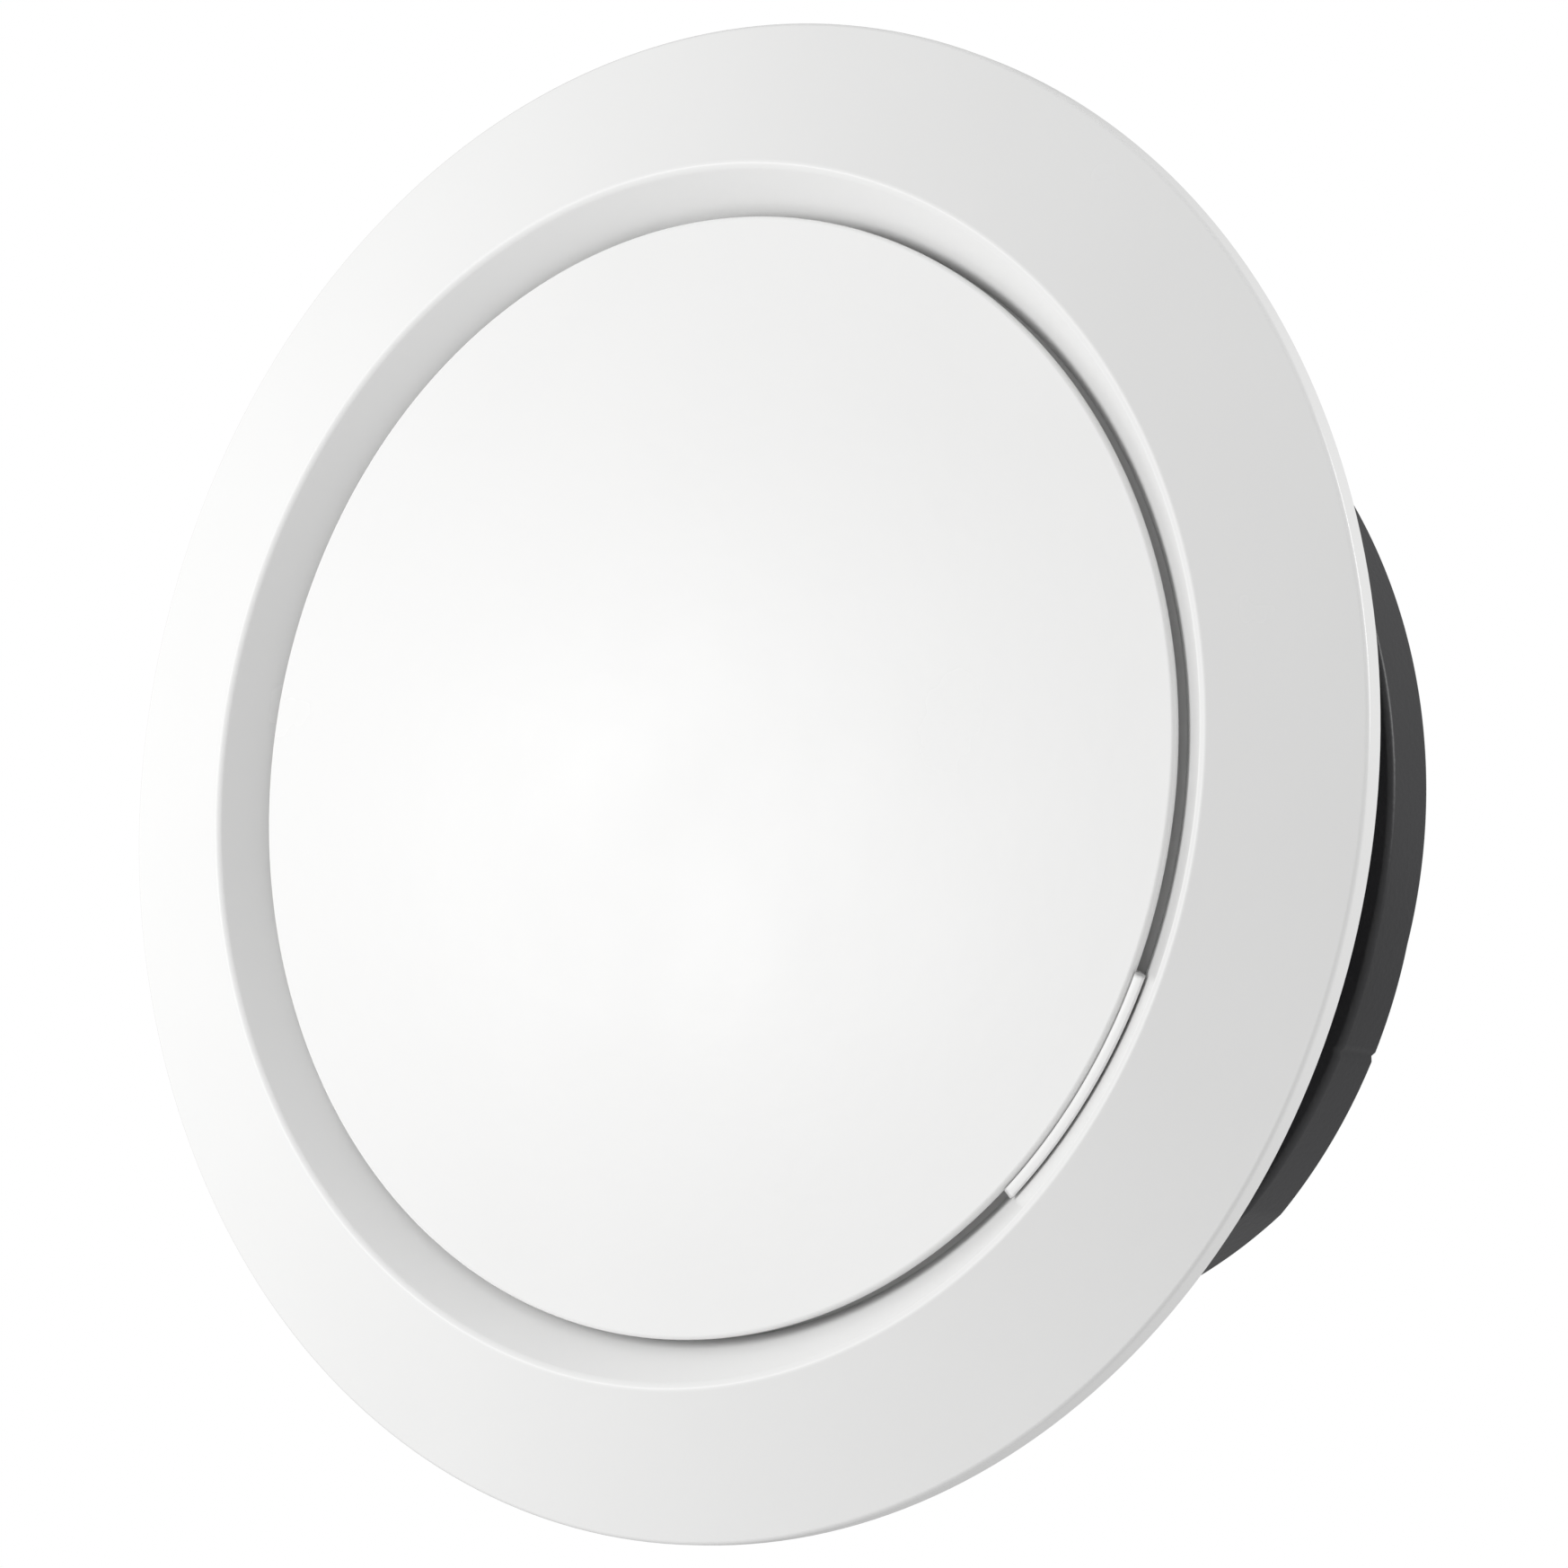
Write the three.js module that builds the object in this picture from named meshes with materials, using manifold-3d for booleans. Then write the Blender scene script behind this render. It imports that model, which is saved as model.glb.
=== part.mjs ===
import * as THREE from 'three';
import { mergeVertices } from 'three/addons/utils/BufferGeometryUtils.js';
import Module from 'manifold-3d';

// A concealed fire sprinkler with its trim ring and cover plate, in millimetres.
// Its axis is Y. The finished wall is the plane y = 0: the white face looks along -Y, and
// everything with y > 0 is inside the wall. +Z is up. Angles round the axis are degrees,
// counter-clockwise from +X as seen from the front.

const wasm = await Module();
wasm.setup();

// ---------- Driving dimensions ----------

const GAP = 0.3;                 // between pieces that touch on the real object
const RUNNING_CLEARANCE = 0.1;   // radial, round a guide pin and beside a tab's edge
const TURNS = 3;                 // tabs, springs and lugs each stand at three places round the axis

const TRIM_RADIUS = 41.7;
const RIM_THICKNESS = 1.23;
const RIM_LAND = 2.5;            // flat ring of the trim that bears on the wall
const RIDGE_RADIUS = 33.3;
const RIDGE_FRONT = -3.85;
const RECESS_RADIUS = 30.65;
const RECESS_FLOOR = -0.95;
const TRIM_SHEET = 0.9;
const HOLLOW_FRONT = -1.07;      // underside of the cone, just inside the land
const LEDGE_RADIUS = 29.6;       // inner edge of the ledge behind the cover
const LEDGE_FRONT = -0.8;

const COVER_RADIUS = 30.75;
const COVER_FRONT = -2.35;
const COVER_BACK = -1.85;

const RETAINER_FRONT = 0.6;
const RETAINER_SHEET = 0.8;
const RETAINER_INNER = 24.4;
const RETAINER_OUTER = 25.1;
const RETAINER_END = 17;
const FINGER_SLOT = 1.6;

const TAB_ANGLE = -37;
const TAB_SPAN = 25.5;
const LIP_SHEET = 0.3;
const EDGE_FRONT = -2.25;        // the tab's edge stands almost level with the cover
const EDGE_RADIUS = 31.5;

const CUP_INNER = 25.4;
const CUP_OUTER = 26.2;
const CUP_FRONT = 5;
const CUP_FLOOR = 24.8;
const CUP_BACK = 25.6;

const COLLAR_INNER = 26.6;
const COLLAR_OUTER = 30.8;
const COLLAR_FRONT = 19.67;
const COLLAR_BACK = 23.52;
const LUG_RISE = 0.8;
const LUG_START = -17;
const LUG_SPAN = -46.5;            // the lug runs clockwise from its start
const LUG_PEAK = 0.665;          // share of the lug's length where it stands out most
const NICK_ANGLE = -29;          // a narrow groove across the rim, on each lug

const HEX_FLATS = 24;
const HEX_FRONT = 20.4;
const HEX_BACK = 24.5;
const NECK_RADIUS = 10.35;
const THREAD_START = 32;
const THREAD_END = 45.5;
const THREAD_RADIUS = 10.67;     // half-inch taper pipe thread
const THREAD_TAPER = 1 / 32;     // radius lost per millimetre of length
const CAVITY_RADIUS = 7.4;
const SEAT = 29;
const ORIFICE_RADIUS = 5.6;
const INLET_RADIUS = 7.2;

const BOSS_RADIUS = 4.2;
const BOSS_FRONT = 6.8;
const BOSS_BACK = 10.8;
const SPIGOT_RADIUS = 3.6;
const SPIGOT_FRONT = 5;
const ARM_THICKNESS = 3;

const SCREW_RADIUS = 2.2;
const SCREW_FRONT = 5.6;
const SCREW_BACK = 9.4;
const BULB_RADIUS = 1.5;
const BULB_FRONT = 9.7;
const BULB_BACK = 26.5;

const DEFLECTOR_RADIUS = 14.5;
const DEFLECTOR_FRONT = 3.4;
const DEFLECTOR_SHEET = 0.8;
const DEFLECTOR_ROOT = 8.6;      // the slots between the teeth start here
const SLOT_COUNT = 16;
const SLOT_WIDTH = 1.2;

const HOUSING_FRONT = 5.2;
const HOUSING_BACK = 6.5;
const HOUSING_HALF_WIDTH = 5.5;
const PIN_RADIUS = 1.2;
const PIN_HEAD_RADIUS = 1.9;
const PIN_OFFSET = 11;           // from the sprinkler's axis
const PIN_HEAD_FRONT = 18.9;
const PIN_END = 19.9;

const FINE = 72;                 // facets round the large visible rings
const ROUND = 48;                // facets round hidden rings
const SMALL = 16;                // facets round pins and screws

// ---------- Finishes ----------

const finish = (color, roughness, metalness) => () =>
  new THREE.MeshStandardMaterial({ color, roughness, metalness });

const whiteEnamel = finish(0xf2f2f0, 0.4, 0);
const blackPlastic = finish(0x131314, 0.45, 0);
const blackSteel = finish(0x1b1b1c, 0.5, 0.4);
const castBrass = finish(0xb08d4c, 0.35, 1);
const bronze = finish(0xa9783f, 0.35, 1);
const brightSteel = finish(0xb9bcc0, 0.25, 1);
const zincSteel = finish(0x9fa3a6, 0.35, 1);
const redGlass = finish(0xb01818, 0.05, 0);
const sealFilm = finish(0xe8e6dc, 0.5, 0);

// ---------- Solid helpers ----------

// A closed mesh with shared corners, as a solid that can be cut and joined.
function toSolid(geometry) {
  geometry.deleteAttribute('normal');
  geometry.deleteAttribute('uv');
  const welded = mergeVertices(geometry, 1e-4);
  const index = Array.from(welded.index.array);
  const corners = [];
  for (let i = 0; i < index.length; i += 3) {
    const [a, b, c] = index.slice(i, i + 3);
    if (a !== b && b !== c && c !== a) corners.push(a, b, c);
  }
  return new wasm.Manifold(new wasm.Mesh({
    numProp: 3,
    vertProperties: new Float32Array(welded.attributes.position.array),
    triVerts: new Uint32Array(corners),
  }));
}

// Corners are [radius, y] or [radius, y, rounding]; a rounded corner becomes a short curve.
function outline(corners) {
  const points = corners.map(([r, y]) => new THREE.Vector2(r, y));
  return corners.flatMap(([, , rounding], i) => {
    const corner = points[i];
    if (!rounding) return [corner];
    const before = points[(i + points.length - 1) % points.length].clone().sub(corner).normalize();
    const after = points[(i + 1) % points.length].clone().sub(corner).normalize();
    const reach = rounding / Math.tan(before.angleTo(after) / 2);
    const start = corner.clone().addScaledVector(before, reach);
    const end = corner.clone().addScaledVector(after, reach);
    return new THREE.QuadraticBezierCurve(start, corner, end).getPoints(3);
  });
}

// A profile turned round the Y axis. It ends on the axis, or it is a closed ring section.
function turned(corners, facets = ROUND) {
  const points = outline(corners);
  if (THREE.ShapeUtils.area(points) < 0) points.reverse();
  const endsOnAxis = points[0].x === 0 && points.at(-1).x === 0;
  if (!endsOnAxis) points.push(points[0].clone());
  return toSolid(new THREE.LatheGeometry(points, facets));
}

const rod = (radius, front, back, facets = SMALL) =>
  turned([[0, front], [radius, front], [radius, back], [0, back]], facets);

const ring = (inner, outer, front, back, facets = ROUND) =>
  turned([[inner, front], [outer, front], [outer, back], [inner, back]], facets);

// A flat outline drawn as seen from the front (X right, Z up), extruded from front to back.
function plate(shape, front, back, curveSegments = 12) {
  const geometry = new THREE.ExtrudeGeometry(shape, { depth: back - front, bevelEnabled: false, curveSegments });
  geometry.rotateX(Math.PI / 2);
  geometry.translate(0, back, 0);
  return toSolid(geometry);
}

// An outline drawn in the Z-Y plane, extruded along X and centred on x = 0.
function slab(shape, thickness, curveSegments = 8) {
  const geometry = new THREE.ExtrudeGeometry(shape, { depth: thickness, bevelEnabled: false, curveSegments });
  geometry.rotateY(-Math.PI / 2);
  geometry.translate(thickness / 2, 0, 0);
  return toSolid(geometry);
}

// A block that reaches outwards from the axis, turned to an angle; it is used for cutting.
function radialBlock(width, from, to, front, back, angle) {
  const geometry = new THREE.BoxGeometry(to - from, back - front, width);
  geometry.translate((from + to) / 2, (front + back) / 2, 0);
  geometry.rotateY(-THREE.MathUtils.degToRad(angle));
  return toSolid(geometry);
}

// The part of the space between two angles, as a wide wedge.
function wedge(middle, span, front, back) {
  const reach = 2 * TRIM_RADIUS;
  const shape = new THREE.Shape([new THREE.Vector2(0, 0)]);
  for (const side of [-0.5, 0, 0.5]) {
    const angle = THREE.MathUtils.degToRad(middle + side * span);
    shape.lineTo(reach * Math.cos(angle), reach * Math.sin(angle));
  }
  return plate(shape, front, back);
}

const drill = (radius, x, z, front, back, facets = SMALL) =>
  rod(radius, front, back, facets).translate([x, 0, z]);

const thirdTurn = (i) => (360 / TURNS) * i;

// ---------- Trim ring, cover plate and retainer ----------

function trimRing() {
  const hollowRadius = TRIM_RADIUS - RIM_LAND;
  const sleeveOuter = RECESS_RADIUS + TRIM_SHEET - 0.1;
  const crimpFront = RETAINER_FRONT + RETAINER_SHEET + GAP;
  return turned([
    [LEDGE_RADIUS, LEDGE_FRONT],
    [RECESS_RADIUS, LEDGE_FRONT],
    [RECESS_RADIUS, RECESS_FLOOR, 0.15],
    [RIDGE_RADIUS, RIDGE_FRONT, 0.3],
    [TRIM_RADIUS, -RIM_THICKNESS, 0.2],
    [TRIM_RADIUS, 0],
    [hollowRadius, 0],
    [hollowRadius, HOLLOW_FRONT],
    [RIDGE_RADIUS + 0.25, RIDGE_FRONT + 1.05],
    [sleeveOuter, RECESS_FLOOR + 0.5],
    [sleeveOuter, crimpFront + TRIM_SHEET],
    [RECESS_RADIUS - 1.6, crimpFront + TRIM_SHEET],
    [RECESS_RADIUS - 1.6, crimpFront],
    [RECESS_RADIUS, crimpFront],
    [RECESS_RADIUS, RETAINER_FRONT - GAP],
    [LEDGE_RADIUS, RETAINER_FRONT - GAP],
  ], FINE);
}

function coverPlate() {
  return turned([
    [0, COVER_FRONT],
    [COVER_RADIUS, COVER_FRONT, 0.2],
    [COVER_RADIUS, COVER_BACK],
    [0, COVER_BACK],
  ], FINE);
}

// A flange behind the cover and a sleeve whose slotted end grips the inside of the cup.
function coverRetainer() {
  const flangeBack = RETAINER_FRONT + RETAINER_SHEET;
  let retainer = turned([
    [RETAINER_INNER, RETAINER_FRONT],
    [RECESS_RADIUS - GAP, RETAINER_FRONT],
    [RECESS_RADIUS - GAP, flangeBack],
    [RETAINER_OUTER, flangeBack],
    [RETAINER_OUTER, RETAINER_END],
    [RETAINER_INNER, RETAINER_END],
  ]);
  const slotFront = RETAINER_END - 7;
  for (let i = 0; i < 2 * TURNS; i += 1) {
    const slot = radialBlock(FINGER_SLOT, RETAINER_INNER - 2, RETAINER_OUTER + 2, slotFront, RETAINER_END + 1, i * 60);
    retainer = retainer.subtract(slot);
  }
  return retainer;
}

// A stepped tab: its foot is on the retainer, and its lip is soldered under the cover's edge.
// The locating tab has an edge as well, which stands beside the cover.
function solderTab(locating) {
  const lipFront = COVER_BACK + GAP;
  const lipBack = lipFront + LIP_SHEET;
  const edgeInner = COVER_RADIUS + RUNNING_CLEARANCE + 0.02;
  const footBack = RETAINER_FRONT - GAP;
  const sheet = 0.5;
  const end = locating ? [
    [edgeInner, lipFront],
    [edgeInner, EDGE_FRONT],
    [EDGE_RADIUS, EDGE_FRONT],
    [EDGE_RADIUS, EDGE_FRONT + 0.15],
    [RECESS_RADIUS - 0.05, lipBack],
  ] : [
    [RECESS_RADIUS - GAP, lipFront],
    [RECESS_RADIUS - GAP, lipBack],
  ];
  const band = turned([
    [26.6, footBack - sheet],
    [28.6, footBack - sheet],
    [28.6, lipFront],
    ...end,
    [28.6 + sheet, lipBack],
    [28.6 + sheet, footBack],
    [26.6, footBack],
  ], FINE);
  return band.intersect(wedge(0, TAB_SPAN, EDGE_FRONT - 1, footBack + 1));
}

// A bowed leaf, flattened between the retainer and the cover, that throws the cover off.
function ejectionSpring() {
  const halfLength = 6;
  const leaf = new THREE.Shape();
  leaf.moveTo(-halfLength, 0);
  leaf.quadraticCurveTo(0, 2 * (COVER_BACK + GAP), halfLength, 0);
  leaf.lineTo(halfLength, GAP);
  leaf.quadraticCurveTo(0, 2 * (COVER_BACK + 2 * GAP) - GAP, -halfLength, GAP);
  return slab(leaf, 3).translate([27, 0, 0]);
}

// ---------- Support cup and locking collar ----------

function supportCup() {
  const beadBack = COLLAR_FRONT - 0.45;
  let cup = turned([
    [NECK_RADIUS + GAP, CUP_FLOOR],
    [CUP_INNER, CUP_FLOOR],
    [CUP_INNER, CUP_FRONT],
    [CUP_OUTER, CUP_FRONT],
    [CUP_OUTER, beadBack - 0.7],
    [CUP_OUTER + 0.7, beadBack - 0.7],
    [CUP_OUTER + 0.7, beadBack],
    [CUP_OUTER, beadBack],
    [CUP_OUTER, CUP_BACK],
    [NECK_RADIUS + GAP, CUP_BACK],
  ]);
  for (let i = 0; i < 2 * TURNS; i += 1) {
    const angle = THREE.MathUtils.degToRad(30 + 60 * i);
    const vent = drill(2.5, 18.5 * Math.cos(angle), 18.5 * Math.sin(angle), CUP_FLOOR - 1, CUP_BACK + 1);
    cup = cup.subtract(vent);
  }
  return cup;
}

// How far the collar's rim stands out at an angle, from the ramps of its three lugs.
function lugHeight(angle) {
  const along = THREE.MathUtils.euclideanModulo((angle - LUG_START) * Math.sign(LUG_SPAN), 360 / TURNS);
  const share = along / Math.abs(LUG_SPAN);
  if (share > 1) return 0;
  return LUG_RISE * (share < LUG_PEAK ? share / LUG_PEAK : (1 - share) / (1 - LUG_PEAK));
}

function lockingCollar() {
  const rim = [];
  for (let angle = 0; angle < 360; angle += 3) {
    const radius = COLLAR_OUTER + lugHeight(angle);
    const turn = THREE.MathUtils.degToRad(angle);
    rim.push(new THREE.Vector2(radius * Math.cos(turn), radius * Math.sin(turn)));
  }
  const shape = new THREE.Shape(rim);
  shape.holes.push(new THREE.Path().absarc(0, 0, COLLAR_INNER, 0, 2 * Math.PI));
  let collar = plate(shape, COLLAR_FRONT, COLLAR_BACK, ROUND);
  for (let i = 0; i < TURNS; i += 1) {
    const nick = radialBlock(0.6, COLLAR_OUTER, COLLAR_OUTER + 1, COLLAR_FRONT - 1,
      COLLAR_BACK + 1, NICK_ANGLE + thirdTurn(i));
    collar = collar.subtract(nick);
  }
  return collar;
}

// A flat spring ring with a gap, so that it can be opened over the piece it holds.
function snapRing(inner, outer, front, back, opening) {
  const mouth = radialBlock(opening, inner - 2, outer + 2, front - 1, back + 1, 90);
  return ring(inner, outer, front, back).subtract(mouth);
}

// ---------- Sprinkler ----------

function armOutline(side) {
  const arm = new THREE.Shape();
  arm.moveTo(side * 3, BOSS_FRONT);
  arm.lineTo(side * 6.4, BOSS_FRONT);
  arm.quadraticCurveTo(side * 11, 9, side * 11.2, 14);
  arm.lineTo(side * 11.2, HEX_FRONT + 0.5);
  arm.lineTo(side * 7.9, HEX_FRONT + 0.5);
  arm.lineTo(side * 7.9, 14.5);
  arm.quadraticCurveTo(side * 7.4, 11, side * 3, BOSS_BACK - 0.4);
  arm.closePath();
  return arm;
}

// One casting: the threaded inlet, the wrench hexagon, two arms and the boss for the screw.
function sprinklerFrame() {
  const threadTip = THREAD_RADIUS - THREAD_TAPER * (THREAD_END - THREAD_START);
  const inlet = turned([
    [CAVITY_RADIUS, HEX_FRONT],
    [HEX_FLATS / 2 - 0.5, HEX_FRONT],
    [HEX_FLATS / 2 - 0.5, HEX_BACK],
    [NECK_RADIUS, HEX_BACK],
    [NECK_RADIUS, THREAD_START - 0.5],
    [THREAD_RADIUS, THREAD_START],
    [threadTip, THREAD_END - 0.5],
    [threadTip - 0.5, THREAD_END],
    [INLET_RADIUS, THREAD_END],
    [ORIFICE_RADIUS, THREAD_START],
    [ORIFICE_RADIUS, SEAT],
    [CAVITY_RADIUS, SEAT],
  ]);
  const hexCorner = HEX_FLATS / 2 / Math.cos(Math.PI / 6);
  const hexagon = rod(hexCorner, HEX_FRONT, HEX_BACK, 6);
  const hexBore = rod(CAVITY_RADIUS, HEX_FRONT - 1, HEX_BACK + 1, ROUND);
  const boss = rod(BOSS_RADIUS, BOSS_FRONT, BOSS_BACK, 24);
  const spigot = rod(SPIGOT_RADIUS, SPIGOT_FRONT, BOSS_FRONT + 1, 24);
  const screwHole = rod(SCREW_RADIUS + GAP, SPIGOT_FRONT - 1, BOSS_BACK + 1);
  let frame = inlet.add(hexagon.subtract(hexBore));
  for (const side of [-1, 1]) {
    frame = frame.add(slab(armOutline(side), ARM_THICKNESS));
  }
  return frame.add(boss).add(spigot).subtract(screwHole);
}

function loadScrew() {
  const body = turned([
    [0, SCREW_FRONT],
    [SCREW_RADIUS, SCREW_FRONT],
    [SCREW_RADIUS, SCREW_BACK],
    [0.9, SCREW_BACK],
    [0, SCREW_BACK - 0.4],
  ], SMALL);
  const slot = radialBlock(0.8, -SCREW_RADIUS - 1, SCREW_RADIUS + 1, SCREW_FRONT - 1, SCREW_FRONT + 0.8, 45);
  return body.subtract(slot);
}

function glassBulb() {
  return turned([
    [0, BULB_FRONT],
    [0.5, BULB_FRONT],
    [0.6, BULB_FRONT + 1.6],
    [BULB_RADIUS, BULB_FRONT + 3, 0.7],
    [BULB_RADIUS, BULB_BACK - 1.4, 0.8],
    [0.8, BULB_BACK],
    [0, BULB_BACK],
  ], SMALL);
}

// A small button that carries the bulb and closes the orifice through the sealing washer.
function pipCap() {
  return turned([
    [0, BULB_BACK + GAP + 0.2],
    [1.2, BULB_BACK + GAP],
    [3.4, BULB_BACK + GAP],
    [3.4, BULB_BACK + GAP + 0.8],
    [2, BULB_BACK + GAP + 0.8],
    [2, SEAT],
    [0, SEAT],
  ], SMALL);
}

function sealWasher() {
  return turned([
    [2.3, 27.9],
    [7, 28.3],
    [7, SEAT - GAP],
    [2.3, 28.3],
  ], 32);
}

// ---------- Deflector, its two guide pins and their housing ----------

function deflectorPlate() {
  const back = DEFLECTOR_FRONT + DEFLECTOR_SHEET;
  let deflector = ring(3, DEFLECTOR_RADIUS, DEFLECTOR_FRONT, back);
  for (let i = 0; i < SLOT_COUNT; i += 1) {
    const angle = (i + 0.5) * (360 / SLOT_COUNT);
    const slot = radialBlock(SLOT_WIDTH, DEFLECTOR_ROOT, DEFLECTOR_RADIUS + 1, DEFLECTOR_FRONT - 1, back + 1, angle);
    const besidePin = Math.abs(Math.sin(THREE.MathUtils.degToRad(angle))) < 0.3;
    if (!besidePin) deflector = deflector.subtract(slot);
  }
  for (const side of [-1, 1]) {
    const hole = drill(PIN_RADIUS + GAP, side * PIN_OFFSET, 0, DEFLECTOR_FRONT - 1, back + 1);
    deflector = deflector.subtract(hole);
  }
  return deflector;
}

function pinHousing() {
  const end = PIN_OFFSET + PIN_HEAD_RADIUS + 0.7;
  const straight = end - HOUSING_HALF_WIDTH;
  const shape = new THREE.Shape();
  shape.absarc(straight, 0, HOUSING_HALF_WIDTH, -Math.PI / 2, Math.PI / 2);
  shape.absarc(-straight, 0, HOUSING_HALF_WIDTH, Math.PI / 2, (3 * Math.PI) / 2);
  shape.closePath();
  const middleHole = rod(SPIGOT_RADIUS + GAP, HOUSING_FRONT - 1, HOUSING_BACK + 1, 24);
  let housing = plate(shape, HOUSING_FRONT, HOUSING_BACK).subtract(middleHole);
  for (const side of [-1, 1]) {
    const hole = drill(PIN_RADIUS + RUNNING_CLEARANCE, side * PIN_OFFSET, 0, HOUSING_FRONT - 1, HOUSING_BACK + 1);
    housing = housing.subtract(hole);
  }
  return housing;
}

// Riveted through the deflector at the front; its rear head stops the drop at the housing.
function guidePin() {
  const deflectorBack = DEFLECTOR_FRONT + DEFLECTOR_SHEET;
  return turned([
    [0, DEFLECTOR_FRONT - GAP - 0.6],
    [PIN_HEAD_RADIUS, DEFLECTOR_FRONT - GAP - 0.6],
    [PIN_HEAD_RADIUS, DEFLECTOR_FRONT - GAP],
    [PIN_RADIUS, DEFLECTOR_FRONT - GAP],
    [PIN_RADIUS, deflectorBack + GAP],
    [PIN_HEAD_RADIUS, deflectorBack + GAP],
    [PIN_HEAD_RADIUS, HOUSING_FRONT - GAP],
    [PIN_RADIUS, HOUSING_FRONT - GAP],
    [PIN_RADIUS, PIN_HEAD_FRONT],
    [PIN_HEAD_RADIUS, PIN_HEAD_FRONT],
    [PIN_HEAD_RADIUS, PIN_END],
    [0, PIN_END],
  ], SMALL);
}

// ---------- Assembly ----------

const sprinkler = new THREE.Group();

function addPiece(name, solid, material, angle = 0) {
  const { vertProperties, triVerts } = solid.getMesh();
  const geometry = new THREE.BufferGeometry();
  geometry.setAttribute('position', new THREE.BufferAttribute(vertProperties, 3));
  geometry.setIndex(new THREE.BufferAttribute(triVerts, 1));
  geometry.computeVertexNormals();
  const mesh = new THREE.Mesh(geometry, material());
  mesh.name = name;
  mesh.rotation.y = -THREE.MathUtils.degToRad(angle);
  sprinkler.add(mesh);
  return mesh;
}

addPiece('trim_ring', trimRing(), whiteEnamel);
addPiece('cover_plate', coverPlate(), whiteEnamel);
addPiece('cover_retainer', coverRetainer(), zincSteel);
for (let i = 0; i < TURNS; i += 1) {
  addPiece(`solder_tab_${i + 1}`, solderTab(i === 0), whiteEnamel, TAB_ANGLE + thirdTurn(i));
  addPiece(`ejection_spring_${i + 1}`, ejectionSpring(), brightSteel, TAB_ANGLE + 60 + thirdTurn(i));
}

addPiece('support_cup', supportCup(), blackSteel);
addPiece('locking_collar', lockingCollar(), blackPlastic);
addPiece('collar_clip', snapRing(CUP_OUTER + GAP, CUP_OUTER + 2.2, COLLAR_BACK + 0.4, COLLAR_BACK + 1.2, 7), zincSteel);

addPiece('sprinkler_frame', sprinklerFrame(), castBrass);
addPiece('cup_clip', snapRing(NECK_RADIUS + GAP, 13, CUP_BACK + GAP, CUP_BACK + 1.3, 5), zincSteel);
addPiece('load_screw', loadScrew(), castBrass);
addPiece('glass_bulb', glassBulb(), redGlass);
addPiece('pip_cap', pipCap(), bronze);
addPiece('seal_washer', sealWasher(), sealFilm);

addPiece('guide_pin_housing', pinHousing(), bronze);
addPiece('deflector', deflectorPlate(), bronze);
for (const [name, side] of [['guide_pin_left', -1], ['guide_pin_right', 1]]) {
  addPiece(name, guidePin(), brightSteel).position.x = side * PIN_OFFSET;
}

export default sprinkler;
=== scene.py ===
# %% [markdown]
# # A concealed fire sprinkler
#
# From the room, only a white trim ring and a white cover plate show. The sprinkler hides
# in a black cup behind them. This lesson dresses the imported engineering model: it keeps
# every size and every moving body, and makes a finer surface and a finish for each piece.

# %% Load the frame
import math

import bmesh
import bpy
from mathutils import Matrix, Vector


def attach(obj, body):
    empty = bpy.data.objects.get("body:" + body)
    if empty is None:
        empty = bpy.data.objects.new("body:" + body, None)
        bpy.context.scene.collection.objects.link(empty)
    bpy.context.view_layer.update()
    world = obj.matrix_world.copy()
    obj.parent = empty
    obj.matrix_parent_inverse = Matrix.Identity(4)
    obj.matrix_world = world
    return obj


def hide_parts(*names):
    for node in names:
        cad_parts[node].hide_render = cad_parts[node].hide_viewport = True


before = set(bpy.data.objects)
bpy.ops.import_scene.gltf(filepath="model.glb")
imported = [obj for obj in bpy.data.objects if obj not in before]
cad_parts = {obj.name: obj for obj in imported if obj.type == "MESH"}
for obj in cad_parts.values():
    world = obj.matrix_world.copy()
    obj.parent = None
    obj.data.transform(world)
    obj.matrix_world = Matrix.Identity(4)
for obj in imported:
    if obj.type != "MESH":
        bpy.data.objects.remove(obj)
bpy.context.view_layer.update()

print("nodes:", len(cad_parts))

# %% [markdown]
# ## Camera, light and floor
#
# The camera comes first, because every later choice is judged through it. It could be
# aimed by a constraint, but a direction built from two angles is easier to read: the
# object is seen from the right of its axis and from a little below.

# %% Camera
RIM_PLANE = -0.00078
AZIMUTH = math.radians(36.05)
ELEVATION = math.radians(-8.04)
DISTANCE = 0.336
SHIFT_RIGHT = 0.00384
SHIFT_DOWN = 0.00042
FOCAL_LENGTH, SENSOR_WIDTH = 141.2, 36

back = Vector((math.sin(AZIMUTH) * math.cos(ELEVATION),
               -math.cos(AZIMUTH) * math.cos(ELEVATION),
               math.sin(ELEVATION)))
right = Vector((math.cos(AZIMUTH), math.sin(AZIMUTH), 0))
up = back.cross(right)

camera = bpy.data.objects.new("camera", bpy.data.cameras.new("camera"))
camera.data.lens = FOCAL_LENGTH
camera.data.sensor_width = SENSOR_WIDTH
rim_centre = Vector((0, RIM_PLANE, 0))
camera.location = rim_centre + back * DISTANCE + right * SHIFT_RIGHT - up * SHIFT_DOWN
camera.rotation_euler = Matrix((right, up, back)).transposed().to_euler()
bpy.context.scene.collection.objects.link(camera)
bpy.context.scene.camera = camera
print("camera is", round(DISTANCE * 1000), "mm from the rim")

# %% [markdown]
# White enamel on a white ground is the hardest thing to light: too much light and the
# ridge vanishes. A dim even sky fills the shadows, and one large panel from the left models
# the shape. Mirrored in the enamel it would be a hard white patch, so it is left out of
# reflections, and a small weak panel beside it gives the soft glow instead. A strip from
# the right, a little behind, draws the edge of the rim.

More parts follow.
